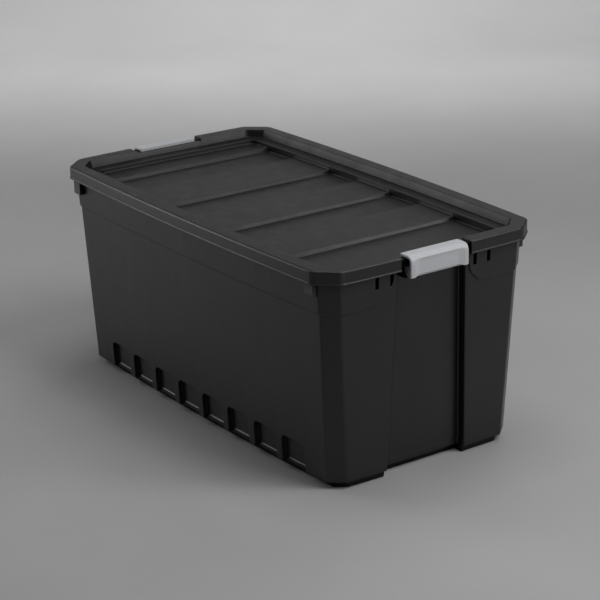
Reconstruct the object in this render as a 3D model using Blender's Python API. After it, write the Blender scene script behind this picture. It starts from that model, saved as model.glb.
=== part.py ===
"""Stackable storage bin: a moulded tub, a lift-off lid and two clip latches.

Metres, +Z up. X runs along the length, Y across the width. The origin is on the
floor, under the middle of the tub.
"""

import math

import bpy
import bmesh
from mathutils import Vector

# Overall sizes
LID_HALF_X = 0.390
LID_HALF_Y = 0.21135
LID_TOP_Z = 0.368
LID_CORNER = 0.035
LID_CORNER_SLANT = 0.86
END_BOW = 0.0044
SIDE_BOW_TOP = 0.0098
SIDE_BOW_BASE = 0.0125

# Tub walls: half sizes at the bottom edge of the wall, and how far they lean out
FOOT_HEIGHT = 0.011
WALL_HALF_X = 0.3657
WALL_HALF_Y = 0.1782
WALL_LEAN_X = 0.0352
WALL_LEAN_Y = 0.0536
WALL_CORNER = 0.0233
WALL_CORNER_SLANT = 0.876
WALL_THICK = 0.0032
FLOOR_TOP_Z = 0.0142
COLLAR_Z = 0.2945
COLLAR_PROUD = 0.0025
FOOT_INSET_X = 0.005
FOOT_INSET_Y = 0.0115
FOOT_WIDTH = 0.016
FOOT_CORNER = 0.018

# Tub rim, hooked over under the lid's skirt
RIM_TOP_Z = 0.3645
RIM_UNDER_Z = 0.3610
RIM_LIP_Z = 0.3500
RIM_EDGE_INSET = 0.0038
RIM_LIP_THICK = 0.0025

# Gussets under the rim, next to the corners
LUG_X = (0.3340, 0.3545)
LUG_OUTER_Y = 0.2060
LUG_FOOT_Z = 0.3205
LUG_TIP_Z = 0.3205
LUG_TIP_FRONT_Z = 0.3275
LUG_TOP_Z = 0.3615

# Lid section, measured inward from its outer edge and down from its top
SKIRT_DEPTH = 0.0215
LID_THICK = 0.003
RIM_FLAT = 0.023
WELL_DEPTH = 0.013
WELL_LEAN = 0.004
LEDGE_WIDTH = 0.021
PANEL_DROP = 0.007
STRIP_DROP = 0.006
STEP_EDGES_X = (-0.301, -0.116, 0.056, 0.229)
STEP_RUN = 0.003
STRIP_LENGTH = 0.077
RAMP_RUN = 0.008
PANEL_REACH_X = 0.36
PANEL_REACH_Y = 0.19

# Recess in the middle of each end wall
RECESS_DEPTH = 0.015
RECESS_TOP_Z = 0.347
RECESS_HALF_TOP = 0.0665
RECESS_HALF_BASE = 0.0775
RECESS_LIP_Z = 0.0205
RECESS_LIP_DEPTH = 0.0012
RECESS_FOOT_DEPTH = 0.007

# Two slots on each side of a latch, and where the collar sweeps up beside it
SLOTS_Y = (-0.1066, -0.0789, 0.0845, 0.1125)
SLOT_HALF = 0.0036
SLOT_Z = (0.3230, 0.3450)
SLOT_DEPTH = 0.0075
SLOT_BLOCK_Y = 0.098
SLOT_BLOCK_HALF = 0.024
SLOT_BLOCK_Z = (0.318, 0.3505)
SLOT_BLOCK_DEPTH = 0.0105
SWEEP_FOOT_Z = 0.285
SWEEP_LOW_Y = ((0.1250, 0.2932), (0.1110, 0.2962), (0.0990, 0.3016), (0.0900, 0.3090), (0.0775, 0.3235))
SWEEP_HIGH_Y = ((0.1035, 0.2936), (0.0945, 0.2955), (0.0855, 0.3033), (0.0775, 0.3118), (0.0750, 0.3200))
SWEEP_END = (0.0740, 0.3420)
SWEEP_INNER_Y = 0.060

# Pockets along the foot of each long wall
POCKET_COUNT = 8
POCKET_PITCH = 0.0742
POCKET_WIDTH = 0.0595
POCKET_SHIFT = 0.005
POCKET_DEPTH = 0.009
POCKET_TOP_Z = 0.058
POCKET_ROUND = 0.010
POCKET_SILL_Z = 0.0175
POCKET_SILL_RISE = 0.0025
SILL_INSET = 0.0065
SILL_CUT_Z = (0.004, 0.0185)

# Latches, and the notch and ears that take them
LATCH_HALF = 0.0565
LATCH_FRONT_X = 0.402
LATCH_TOP_Z = 0.369
LATCH_TOP_ROUND = 0.0125
LATCH_WALL = 0.0035
LATCH_SUNK_WALL = 0.0022
LATCH_RIB_WIDTH = 0.0085
LATCH_FACE_SINK = 0.0028
LATCH_FACE_RISE = 0.0022
HOOK_END_X = 0.374
HOOK_LIP = 0.004
HOOK_BOTTOM_Z = 0.3635
HINGE_X = 0.3935
HINGE_Z = 0.3385
BARREL_RADIUS = 0.005
PIN_RADIUS = 0.0025
PIN_CLEARANCE = 0.0003
PIN_END_Y = 0.0600
EAR_INNER_Y = 0.0573
EAR_OUTER_Y = 0.0608
EAR_BACK_X = 0.3640
EAR_NOSE = 0.0048
EAR_TOP_Z = 0.3485
NOTCH_HALF = 0.0682
NOTCH_FLOOR_Z = 0.363
NOTCH_EDGE_X = 0.386
NOTCH_RETURN = 0.003
NOTCH_BACK_X = 0.3685
NOTCH_SIDE_X = 0.3927
RIM_GAP_X = 0.3848
RIM_GAP_Z = (0.3480, 0.3650)

# Room for a cutter to pass a surface cleanly
BEYOND = 0.02

# How finely curves are divided
LONG_STEPS = 12
END_STEPS = 8
ROUND_STEPS = 2

BLACK_PLASTIC = (0.012, 0.012, 0.013, 1.0)
GREY_PLASTIC = (0.42, 0.43, 0.45, 1.0)


def clear_scene():
    for thing in list(bpy.data.objects):
        bpy.data.objects.remove(thing, do_unlink=True)


def plastic(name, colour, roughness):
    made = bpy.data.materials.new(name)
    made.use_nodes = True
    shader = made.node_tree.nodes["Principled BSDF"]
    shader.inputs["Base Color"].default_value = colour
    shader.inputs["Roughness"].default_value = roughness
    shader.inputs["Metallic"].default_value = 0.0
    return made


def bowed(x, y, z):
    """A point of the straight-sided shape, pushed out where the walls bow."""
    side = SIDE_BOW_BASE + (SIDE_BOW_TOP - SIDE_BOW_BASE) * z / LID_TOP_Z
    grow_y = 1 + side / LID_HALF_Y * (1 - (x / LID_HALF_X) ** 2)
    grow_x = 1 + END_BOW / LID_HALF_X * (1 - (y / LID_HALF_Y) ** 2)
    return Vector((x * grow_x, y * grow_y, z))


def wall_half_x(z):
    return WALL_HALF_X + WALL_LEAN_X * (z - FOOT_HEIGHT)


def wall_half_y(z):
    return WALL_HALF_Y + WALL_LEAN_Y * (z - FOOT_HEIGHT)


def rounded_kink(before, corner, after, reach):
    """Points that round one corner of an outline, reach metres along each side."""
    start = corner + (before - corner).normalized() * reach
    end = corner + (after - corner).normalized() * reach
    points = []
    for step in range(ROUND_STEPS + 1):
        t = step / ROUND_STEPS
        points.append(start * (1 - t) ** 2 + corner * 2 * t * (1 - t) + end * t**2)
    return points


def outline(half_x, half_y, corner, z, slant=1.0):
    """A closed ring of points: a rectangle with cut-off corners and bowed sides.

    The cut is corner long on the ends, and slant times as long on the long sides.
    """
    kinks = []
    for sign_x, sign_y in ((1, 1), (-1, 1), (-1, -1), (1, -1)):
        on_end = Vector((sign_x * half_x, sign_y * (half_y - corner)))
        on_side = Vector((sign_x * (half_x - corner * slant), sign_y * half_y))
        kinks += [on_end, on_side] if sign_x == sign_y else [on_side, on_end]
    points = []
    for index, kink in enumerate(kinks):
        before = kinks[index - 1]
        after = kinks[(index + 1) % len(kinks)]
        rounded = rounded_kink(before, kink, after, corner * 0.28)
        if points:
            points += straight_points(points[-1], rounded[0], index)
        points += rounded
    points += straight_points(points[-1], points[0], 0)
    return [bowed(p.x, p.y, z) for p in points]


def straight_points(start, end, index):
    """The points between two corners, on the side that leads to corner index."""
    steps = {0: END_STEPS, 2: LONG_STEPS, 4: END_STEPS, 6: LONG_STEPS}.get(index, 1)
    return [start.lerp(end, step / steps) for step in range(1, steps)]


def loft(rings):
    """A closed solid through rings of equal length, capped at both ends."""
    bm = bmesh.new()
    made = [[bm.verts.new(point) for point in ring] for ring in rings]
    for low, high in zip(made, made[1:]):
        for index in range(len(low)):
            after = (index + 1) % len(low)
            bm.faces.new((low[index], low[after], high[after], high[index]))
    bm.faces.new(list(reversed(made[0])))
    bm.faces.new(made[-1])
    return bm


def hoop(rings):
    """A closed solid through rings of equal length, the last joined to the first."""
    bm = bmesh.new()
    made = [[bm.verts.new(point) for point in ring] for ring in rings]
    for low, high in zip(made, made[1:] + made[:1]):
        for index in range(len(low)):
            after = (index + 1) % len(low)
            bm.faces.new((low[index], low[after], high[after], high[index]))
    return bm


def box(low, high):
    corners = [(low[0], low[1]), (high[0], low[1]), (high[0], high[1]), (low[0], high[1])]
    return loft([[Vector((x, y, z)) for x, y in corners] for z in (low[2], high[2])])


def add_bodies(target, bodies):
    """Puts several closed shapes in one mesh."""
    for body in bodies:
        spare = bpy.data.meshes.new("spare")
        body.to_mesh(spare)
        target.from_mesh(spare)
        bpy.data.meshes.remove(spare)
        body.free()
    return target


def put(name, bm, material=None):
    bmesh.ops.recalc_face_normals(bm, faces=bm.faces)
    mesh = bpy.data.meshes.new(name)
    bm.to_mesh(mesh)
    bm.free()
    made = bpy.data.objects.new(name, mesh)
    bpy.context.scene.collection.objects.link(made)
    if material:
        mesh.materials.append(material)
    else:
        made.hide_render = True
        made.display_type = "WIRE"
    return made


def cut(target, tool, operation="DIFFERENCE"):
    step = target.modifiers.new(tool.name, "BOOLEAN")
    step.operation = operation
    step.solver = "EXACT"
    step.object = tool


def on_end(y, depth, z, sign):
    """A point depth metres behind the face of an end wall."""
    return bowed(sign * (wall_half_x(z) - depth), y, z)


def on_side(x, depth, z, sign):
    """A point depth metres behind the face of a long wall."""
    return bowed(x, sign * (wall_half_y(z) - depth), z)


def end_block(levels, sign, middle=0.0, steps=6):
    """A block that follows an end wall. Levels are (z, half width, front, back)."""
    rings = []
    for z, half, front, back in levels:
        across = [middle + half * (2 * step / steps - 1) for step in range(steps + 1)]
        ring = [on_end(y, back, z, sign) for y in across]
        ring += [on_end(y, front, z, sign) for y in reversed(across)]
        rings.append(ring)
    return loft(rings)


def end_recess(grow, sign):
    """The recess in an end wall, or the same shape larger by grow on every side."""

    def level(z, depth):
        share = (z - FOOT_HEIGHT) / (RECESS_TOP_Z - FOOT_HEIGHT)
        half = RECESS_HALF_BASE + (RECESS_HALF_TOP - RECESS_HALF_BASE) * share
        return (z, half + grow, -BEYOND, depth + grow)

    if grow:
        return end_block([level(0.0, RECESS_DEPTH), level(RECESS_TOP_Z + grow, RECESS_DEPTH)], sign)
    lip = RECESS_DEPTH + RECESS_LIP_DEPTH
    foot = RECESS_DEPTH + RECESS_FOOT_DEPTH
    levels = [level(-BEYOND, foot), level(FOOT_HEIGHT, foot), level(FOOT_HEIGHT + 0.0001, lip)]
    levels += [level(RECESS_LIP_Z, lip), level(RECESS_LIP_Z + 0.002, RECESS_DEPTH)]
    return end_block(levels + [level(RECESS_TOP_Z, RECESS_DEPTH)], sign)


def pocket(number, grow, sign):
    """One pocket at the foot of a long wall, or the same shape larger by grow."""
    middle = (number - (POCKET_COUNT - 1) / 2) * POCKET_PITCH + POCKET_SHIFT
    half = POCKET_WIDTH / 2 + grow
    top = POCKET_TOP_Z + grow
    round_top = POCKET_ROUND
    sill = -0.002 if grow else POCKET_SILL_Z
    shape = [(-half, sill), (half, sill)]
    for corner, start in ((half - round_top, 0), (-half + round_top, 90)):
        for step in range(4):
            angle = math.radians(start + step * 30)
            reach = (math.cos(angle) * round_top, math.sin(angle) * round_top)
            shape.append((corner + reach[0], top - round_top + reach[1]))
    rings = []
    for depth in (-BEYOND, POCKET_DEPTH + grow):
        slope = 0.0 if grow or depth < 0 else POCKET_SILL_RISE
        ring = []
        for x, z in shape:
            level = z + (slope if z == sill else 0.0)
            ring.append(on_side(middle + x, depth, level, sign))
        rings.append(ring)
    return loft(rings)


def sill_relief(number, sign):
    """What the wall lacks in front of one pocket's sill, which stands a little back."""
    middle = (number - (POCKET_COUNT - 1) / 2) * POCKET_PITCH + POCKET_SHIFT
    half = POCKET_WIDTH / 2
    low, high = SILL_CUT_Z
    rings = []
    for depth in (-BEYOND, SILL_INSET):
        shape = ((-half, low), (half, low), (half, high), (-half, high))
        rings.append([on_side(middle + x, depth, z, sign) for x, z in shape])
    return loft(rings)


def collar_relief(side, sign):
    """What the collar lacks beside an end recess, where its lower edge sweeps up."""
    curve = SWEEP_HIGH_Y if side > 0 else SWEEP_LOW_Y
    start = (curve[0][0] + 0.0025, SWEEP_FOOT_Z)
    edge = [(SWEEP_INNER_Y, start[1]), start, *curve]
    edge += [SWEEP_END, (SWEEP_INNER_Y, SWEEP_END[1])]
    rings = []
    for depth in (-0.012, 0.0002):
        rings.append([on_end(side * y, depth, z, sign) for y, z in edge])
    return loft(rings)


def rim_lug(sign_x, sign_y):
    """A gusset under the rim of a long wall, next to the corner."""
    tip = LUG_TIP_FRONT_Z if sign_x > 0 > sign_y else LUG_TIP_Z
    rings = []
    for x in LUG_X:
        ring = [on_side(sign_x * x, 0.001, z, sign_y) for z in (LUG_FOOT_Z, LUG_TOP_Z)]
        ring += [bowed(sign_x * x, sign_y * LUG_OUTER_Y, z) for z in (LUG_TOP_Z, tip)]
        rings.append(ring)
    return loft(rings)


def cylinder_y(centre_x, centre_z, radius, start_y, end_y, steps=16):
    rings = []
    for y in (start_y, end_y):
        ring = []
        for step in range(steps):
            angle = 2 * math.pi * step / steps
            across = radius * math.cos(angle)
            up = radius * math.sin(angle)
            ring.append(Vector((centre_x + across, y, centre_z + up)))
        rings.append(ring)
    return loft(rings)


def tub_outside():
    """The tub as a full block, from the wall's lower edge to the top of the rim."""
    rings = []
    for inset, z in ((0.0018, FOOT_HEIGHT), (0.0, 0.0130), (0.0, 0.10), (0.0, 0.20)):
        half_x = wall_half_x(z) - inset
        half_y = wall_half_y(z) - inset
        rings.append(outline(half_x, half_y, WALL_CORNER, z, WALL_CORNER_SLANT))
    collar = ((0.0, COLLAR_Z - 0.0015), (COLLAR_PROUD, COLLAR_Z + 0.001), (COLLAR_PROUD, RIM_UNDER_Z))
    for proud, z in collar:
        half_x = wall_half_x(z) + proud
        half_y = wall_half_y(z) + proud
        rings.append(outline(half_x, half_y, WALL_CORNER + 0.002, z, WALL_CORNER_SLANT))
    lip_inset = RIM_EDGE_INSET + RIM_LIP_THICK
    for inset, z in (
        (lip_inset, RIM_UNDER_Z),
        (lip_inset, RIM_LIP_Z),
        (RIM_EDGE_INSET, RIM_LIP_Z),
        (RIM_EDGE_INSET, RIM_TOP_Z),
    ):
        half_x = LID_HALF_X - inset
        half_y = LID_HALF_Y - inset
        rings.append(outline(half_x, half_y, LID_CORNER - 0.002, z, LID_CORNER_SLANT))
    return loft(rings)


def tub_inside():
    """The hollow of the tub, without the shapes that stand into it."""
    rings = []
    for inset, z in (
        (0.009, FLOOR_TOP_Z),
        (0.0045, FLOOR_TOP_Z + 0.0025),
        (WALL_THICK, FLOOR_TOP_Z + 0.008),
        (WALL_THICK, RIM_TOP_Z + 0.01),
    ):
        half_x = wall_half_x(z) - inset
        half_y = wall_half_y(z) - inset
        rings.append(outline(half_x, half_y, WALL_CORNER - 0.002, z, WALL_CORNER_SLANT))
    return loft(rings)


def foot_ring():
    """The raised ring under the floor that the bin stands on."""
    rings = []
    for inset, z in (
        (0.0, FOOT_HEIGHT + 0.0005),
        (0.001, 0.0),
        (FOOT_WIDTH, 0.0),
        (FOOT_WIDTH, FOOT_HEIGHT + 0.0005),
    ):
        half_x = WALL_HALF_X - FOOT_INSET_X - inset
        half_y = WALL_HALF_Y - FOOT_INSET_Y - inset
        rings.append(outline(half_x, half_y, FOOT_CORNER, z))
    return hoop(rings)


def slot_block(side, sign):
    """Solid material behind the two slots beside a latch."""
    levels = [(z, SLOT_BLOCK_HALF, -BEYOND, SLOT_BLOCK_DEPTH) for z in SLOT_BLOCK_Z]
    return end_block(levels, sign, middle=side * SLOT_BLOCK_Y)


def slot(y, sign):
    levels = [(z, SLOT_HALF, -BEYOND, SLOT_DEPTH) for z in SLOT_Z]
    return end_block(levels, sign, middle=y, steps=1)


def hinge_ear(side, sign):
    low_y = min(side * EAR_INNER_Y, side * EAR_OUTER_Y)
    high_y = max(side * EAR_INNER_Y, side * EAR_OUTER_Y)
    shape = [(EAR_BACK_X, HINGE_Z - EAR_NOSE)]
    for step in range(7):
        angle = math.radians(-90 + step * 18)
        shape.append((HINGE_X + EAR_NOSE * math.cos(angle), HINGE_Z + EAR_NOSE * math.sin(angle)))
    shape += [(HINGE_X - 0.003, EAR_TOP_Z), (EAR_BACK_X, EAR_TOP_Z)]
    return loft([[Vector((sign * x, y, z)) for x, z in shape] for y in (low_y, high_y)])


def x_box(sign, near_x, far_x, half_y, low_z, high_z):
    """A box astride the X axis at one end of the bin."""
    low = min(sign * near_x, sign * far_x)
    high = max(sign * near_x, sign * far_x)
    return box((low, -half_y, low_z), (high, half_y, high_z))


def both(make, *args):
    """A shape at the far end or side and its mirror at the other."""
    return [make(*args, sign) for sign in (1, -1)]


def build_tub(material):
    tub = put("tub", tub_outside(), material)
    hollow = put("tub_hollow", tub_inside())
    pockets_in = [pocket(n, WALL_THICK, sign) for sign in (1, -1) for n in range(POCKET_COUNT)]
    cut(hollow, put("pocket_backs", add_bodies(bmesh.new(), pockets_in)))
    cut(hollow, put("recess_backs", add_bodies(bmesh.new(), both(end_recess, WALL_THICK))))
    blocks = [slot_block(side, sign) for side in (1, -1) for sign in (1, -1)]
    cut(hollow, put("slot_backs", add_bodies(bmesh.new(), blocks)))
    cut(tub, hollow)
    cut(tub, put("foot_ring", foot_ring()), "UNION")
    lugs = [rim_lug(sign_x, sign_y) for sign_x in (1, -1) for sign_y in (1, -1)]
    cut(tub, put("rim_lugs", add_bodies(bmesh.new(), lugs)), "UNION")
    cut(tub, put("recesses", add_bodies(bmesh.new(), both(end_recess, 0.0))))
    pockets_out = [pocket(n, 0.0, sign) for sign in (1, -1) for n in range(POCKET_COUNT)]
    cut(tub, put("pockets", add_bodies(bmesh.new(), pockets_out)))
    sills_out = [sill_relief(n, sign) for sign in (1, -1) for n in range(POCKET_COUNT)]
    cut(tub, put("sill_reliefs", add_bodies(bmesh.new(), sills_out)))
    reliefs = [collar_relief(side, sign) for side in (1, -1) for sign in (1, -1)]
    cut(tub, put("collar_reliefs", add_bodies(bmesh.new(), reliefs)))
    slots = [slot(y, sign) for y in SLOTS_Y for sign in (1, -1)]
    cut(tub, put("slots", add_bodies(bmesh.new(), slots)))
    cut_latch_gaps(tub)
    ears = [hinge_ear(side, sign) for side in (1, -1) for sign in (1, -1)]
    cut(tub, put("hinge_ears", add_bodies(bmesh.new(), ears)), "UNION")
    bores = [hinge_bore(side, sign) for side in (1, -1) for sign in (1, -1)]
    cut(tub, put("hinge_bores", add_bodies(bmesh.new(), bores)))
    return tub


def cut_latch_gaps(tub):
    """Lowers the rim under each notch of the lid and opens its edge for the hook."""
    room = NOTCH_HALF + NOTCH_RETURN + 0.0006
    dip = NOTCH_FLOOR_Z - LID_THICK - 0.0004
    far = LATCH_FRONT_X + BEYOND
    over = LID_TOP_Z + BEYOND
    dips = [x_box(sign, WALL_HALF_X - BEYOND, far, room, dip, over) for sign in (1, -1)]
    cut(tub, put("rim_dips", add_bodies(bmesh.new(), dips)))
    gaps = [x_box(sign, RIM_GAP_X, far, room, *RIM_GAP_Z) for sign in (1, -1)]
    cut(tub, put("rim_gaps", add_bodies(bmesh.new(), gaps)))


def hinge_bore(side, sign):
    """The bore in an ear that takes a latch's pin."""
    ends = sorted((side * (EAR_INNER_Y - 0.001), side * (PIN_END_Y + 0.0004)))
    return cylinder_y(sign * HINGE_X, HINGE_Z, PIN_RADIUS + PIN_CLEARANCE, *ends)


def lid_ring():
    """The lid's skirt, rim and ledge as one closed section round the edge."""
    top = LID_TOP_Z
    ledge_z = top - WELL_DEPTH
    well = RIM_FLAT + WELL_LEAN
    ledge = well + LEDGE_WIDTH
    low = ledge_z - PANEL_DROP - STRIP_DROP - LID_THICK
    section = [
        (-0.001, top - SKIRT_DEPTH, 0.0),
        (0.0, top - 0.0028, 0.0),
        (0.0009, top - 0.0008, 0.0),
        (0.0030, top, 0.0015),
        (RIM_FLAT - 0.0015, top, 0.012),
        (RIM_FLAT, top - 0.001, 0.013),
        (well, ledge_z, 0.016),
        (ledge, ledge_z, 0.026),
        (ledge + 0.0015, low, 0.026),
        (ledge - 0.0015, low, 0.024),
        (ledge - 0.0030, ledge_z - LID_THICK, 0.024),
        (well - LID_THICK, ledge_z - LID_THICK, 0.014),
        (RIM_FLAT - LID_THICK, top - LID_THICK, 0.011),
        (LID_THICK, top - LID_THICK, 0.0015),
        (LID_THICK - 0.001, top - SKIRT_DEPTH, 0.0),
    ]
    rings = []
    for inset, z, less in section:
        slant = LID_CORNER_SLANT if inset < RIM_FLAT / 2 else 1.0
        rings.append(outline(LID_HALF_X - inset, LID_HALF_Y - inset, LID_CORNER - less, z, slant))
    return hoop(rings)


def panel_section():
    """The panel's upper surface along the lid: high and low strips by turns."""
    high = LID_TOP_Z - WELL_DEPTH - PANEL_DROP
    low = high - STRIP_DROP
    points = [(-PANEL_REACH_X, high)]
    for edge in STEP_EDGES_X:
        points += [(edge, high), (edge + STEP_RUN, low)]
        ramp = edge + STRIP_LENGTH
        points += [(ramp, low), (ramp + RAMP_RUN, high)]
    points = points[:-2]
    points.append((PANEL_REACH_X, low))
    return points


def lid_panel():
    """The panel as a folded sheet across the well, longer than it needs to be."""
    upper = panel_section()
    rings = []
    for y in (-PANEL_REACH_Y, PANEL_REACH_Y):
        ring = [Vector((x, y, z)) for x, z in upper]
        ring += [Vector((x, y, z - LID_THICK)) for x, z in reversed(upper)]
        rings.append(ring)
    return loft(rings)


def well_block():
    """The inside of the lid's well, with a little to spare to fuse with its wall."""
    inset = RIM_FLAT + WELL_LEAN + LEDGE_WIDTH
    corner = LID_CORNER - 0.025
    levels = (LID_TOP_Z - 0.07, LID_TOP_Z + 0.03)
    return loft([outline(LID_HALF_X - inset, LID_HALF_Y - inset, corner, z) for z in levels])


def notch_floor(sign):
    """The lowered rim in a latch notch, which the hook closes over."""
    half = NOTCH_HALF + NOTCH_RETURN
    low = NOTCH_FLOOR_Z - LID_THICK
    return x_box(sign, NOTCH_BACK_X, NOTCH_EDGE_X, half, low, NOTCH_FLOOR_Z)


def notch_return(side, sign):
    """The skirt turned in along one side of a latch notch."""
    ends = sorted((side * NOTCH_HALF, side * (NOTCH_HALF + NOTCH_RETURN)))
    floor = NOTCH_FLOOR_Z - LID_THICK + 0.0001
    base = LID_TOP_Z - SKIRT_DEPTH + 0.0004
    across = (NOTCH_BACK_X + 0.0005, NOTCH_SIDE_X - 0.0001, floor, LID_TOP_Z - 0.0010)
    upright = (NOTCH_EDGE_X - 0.0004, NOTCH_SIDE_X, base, LID_TOP_Z - 0.0012)
    bodies = []
    for near, far, low, high in (across, upright):
        x_ends = sorted((sign * near, sign * far))
        bodies.append(box((x_ends[0], ends[0], low), (x_ends[1], ends[1], high)))
    return bodies


def build_lid(material):
    lid = put("lid", lid_ring(), material)
    panel = put("lid_panel", lid_panel())
    cut(panel, put("lid_well", well_block()), "INTERSECT")
    cut(lid, panel, "UNION")
    far = LATCH_FRONT_X + BEYOND
    over = LID_TOP_Z + BEYOND
    back = LID_HALF_X - RIM_FLAT - 0.007
    tops = [x_box(sign, back, far, NOTCH_HALF, NOTCH_FLOOR_Z, over) for sign in (1, -1)]
    cut(lid, put("notch_tops", add_bodies(bmesh.new(), tops)))
    edge = NOTCH_EDGE_X - 0.001
    fronts = [x_box(sign, edge, far, NOTCH_HALF, HINGE_Z, over) for sign in (1, -1)]
    cut(lid, put("notch_fronts", add_bodies(bmesh.new(), fronts)))
    cut(lid, put("notch_floors", add_bodies(bmesh.new(), both(notch_floor))), "UNION")
    for layer in (0, 1):
        returns = [notch_return(side, sign)[layer] for side in (1, -1) for sign in (1, -1)]
        cut(lid, put(f"notch_returns_{layer}", add_bodies(bmesh.new(), returns)), "UNION")
    return lid


def latch_section(front):
    """The latch from its side, about its pin: a front wall, a top and a hook."""
    front_x = front - HINGE_X
    top = LATCH_TOP_Z - HINGE_Z
    inner_x = min(LATCH_FRONT_X - LATCH_WALL, front - LATCH_SUNK_WALL) - HINGE_X
    under = top - HOOK_LIP
    hook_end = HOOK_END_X - HINGE_X
    hook_low = HOOK_BOTTOM_Z - HINGE_Z
    bottom = -BARREL_RADIUS
    sink = LATCH_FRONT_X - front
    rise = LATCH_FACE_RISE if sink > 0.001 else 0.0
    points = [(front_x, bottom + 0.001 + rise)]
    outer_round = LATCH_TOP_ROUND
    for step in range(5):
        angle = math.radians(step * 22.5)
        points.append(
            (
                front_x - outer_round * (1 - math.cos(angle)),
                top - sink * 0.25 - outer_round * (1 - math.sin(angle)),
            )
        )
    points += [(hook_end + 0.001, top - sink * 0.25), (hook_end, top - 0.001 - sink * 0.25)]
    points += [(hook_end, hook_low), (hook_end + 0.004, hook_low), (hook_end + 0.004, under)]
    inner_round = 0.008
    for step in range(3):
        angle = math.radians(90 - step * 45)
        points.append(
            (
                inner_x - inner_round * (1 - math.cos(angle)),
                under - inner_round * (1 - math.sin(angle)),
            )
        )
    for step in range(9):
        angle = math.radians(37 + step * 31)
        points.append((BARREL_RADIUS * math.cos(angle), BARREL_RADIUS * math.sin(angle)))
    return points


def build_latch(name, sign, material):
    """A latch whose origin is on its pins' axis. Sign is the end it is on."""
    sunk = LATCH_FRONT_X - LATCH_FACE_SINK
    inner = LATCH_HALF - LATCH_RIB_WIDTH
    stations = [
        (-LATCH_HALF, LATCH_FRONT_X - 0.001),
        (-LATCH_HALF + 0.0015, LATCH_FRONT_X),
        (-inner - 0.0012, LATCH_FRONT_X),
        (-inner + 0.0012, sunk),
        (inner - 0.0012, sunk),
        (inner + 0.0012, LATCH_FRONT_X),
        (LATCH_HALF - 0.0015, LATCH_FRONT_X),
        (LATCH_HALF, LATCH_FRONT_X - 0.001),
    ]
    rings = []
    for y, front in stations:
        rings.append([Vector((sign * x, y, z)) for x, z in latch_section(front)])
    latch = put(name, loft(rings), material)
    pins = []
    for side in (1, -1):
        ends = sorted((side * (LATCH_HALF - 0.0005), side * PIN_END_Y))
        pins.append(cylinder_y(0.0, 0.0, PIN_RADIUS, *ends))
    pin_tool = put(f"{name}_pins", add_bodies(bmesh.new(), pins))
    hinge = Vector((sign * HINGE_X, 0.0, HINGE_Z))
    latch.location = hinge
    pin_tool.location = hinge
    cut(latch, pin_tool, "UNION")
    return latch


def smooth(thing, angle):
    thing.data.shade_smooth()
    thing.data.set_sharp_from_angle(angle=math.radians(angle))


def main():
    clear_scene()
    black = plastic("black_plastic", BLACK_PLASTIC, 0.42)
    grey = plastic("grey_plastic", GREY_PLASTIC, 0.45)
    tub = build_tub(black)
    lid = build_lid(black)
    latch_right = build_latch("latch_right", 1, grey)
    latch_left = build_latch("latch_left", -1, grey)
    for thing in (tub, lid, latch_right, latch_left):
        smooth(thing, 30)


main()
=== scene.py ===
"""Looks of the stackable storage bin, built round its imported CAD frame.

The tub, the lid and each latch are one moulded piece. Each is built here again with its
rounded edges, from the same sizes as the CAD, and stands for its CAD node. Metres, +Z up.
"""

import math

import bpy
import bmesh
import numpy as np
from mathutils import Matrix, Vector


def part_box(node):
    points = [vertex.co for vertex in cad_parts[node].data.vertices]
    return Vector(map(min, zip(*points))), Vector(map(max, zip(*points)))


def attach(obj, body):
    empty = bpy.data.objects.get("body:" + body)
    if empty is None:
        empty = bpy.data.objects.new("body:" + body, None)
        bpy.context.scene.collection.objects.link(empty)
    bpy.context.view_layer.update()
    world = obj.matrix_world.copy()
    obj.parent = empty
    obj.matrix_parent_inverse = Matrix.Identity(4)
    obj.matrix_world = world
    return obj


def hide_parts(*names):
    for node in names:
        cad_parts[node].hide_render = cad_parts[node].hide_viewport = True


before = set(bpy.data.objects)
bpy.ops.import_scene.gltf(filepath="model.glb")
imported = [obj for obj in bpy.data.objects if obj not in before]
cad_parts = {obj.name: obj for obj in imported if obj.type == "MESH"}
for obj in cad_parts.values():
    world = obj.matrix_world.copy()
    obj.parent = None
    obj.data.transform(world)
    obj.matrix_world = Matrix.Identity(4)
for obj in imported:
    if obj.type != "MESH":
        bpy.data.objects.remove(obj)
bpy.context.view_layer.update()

# Overall sizes of the CAD model
LID_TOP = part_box("lid")[1].z
LID_HALF_X = 0.390
LID_HALF_Y = 0.21135
LID_CORNER = 0.035
LID_CORNER_LONG = 0.030
END_BOW = 0.0044
SIDE_BOW_TOP = 0.0098
SIDE_BOW_BASE = 0.0125

# Tub
FOOT_HEIGHT = 0.011
FOOT_SIDE_INSET = 0.0065
WALL_HALF_X = 0.3657
WALL_HALF_Y = 0.1782
WALL_LEAN_X = 0.0352
WALL_LEAN_Y = 0.0536
WALL_CORNER = 0.0233
WALL_CORNER_LESS = 0.0029
WALL_THICK = 0.0032
FLOOR_TOP = 0.0142
COLLAR_Z = 0.2945
COLLAR_PROUD = 0.0025
CORNER_PER_INSET = 0.586
RIM_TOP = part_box("tub")[1].z
RIM_UNDER = 0.3610
RIM_LIP = 0.3500
RIM_EDGE_INSET = 0.0038
RIM_LIP_THICK = 0.0025
RECESS_DEPTH = 0.015
RECESS_TOP = 0.347
RECESS_HALF_TOP = 0.0665
RECESS_HALF_BASE = 0.0775
RECESS_LIP = 0.0205
RECESS_MOUTH = 0.0022
RECESS_FILLET = 0.0026
SLOTS_Y = (-0.1066, -0.0789, 0.0845, 0.1125)
SLOT_HALF = 0.0036
SLOT_DEPTH = 0.0050
SLOT_Z = (0.3228, 0.3448)
LUG_X = (0.3340, 0.3545)
LUG_OUT_Y = 0.2060
LUG_FOOT = 0.3205
LUG_TIP_NEAR = 0.3275
LUG_TOP = 0.3615
POCKET_COUNT = 8
POCKET_PITCH = 0.0742
POCKET_WIDTH = 0.0595
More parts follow.
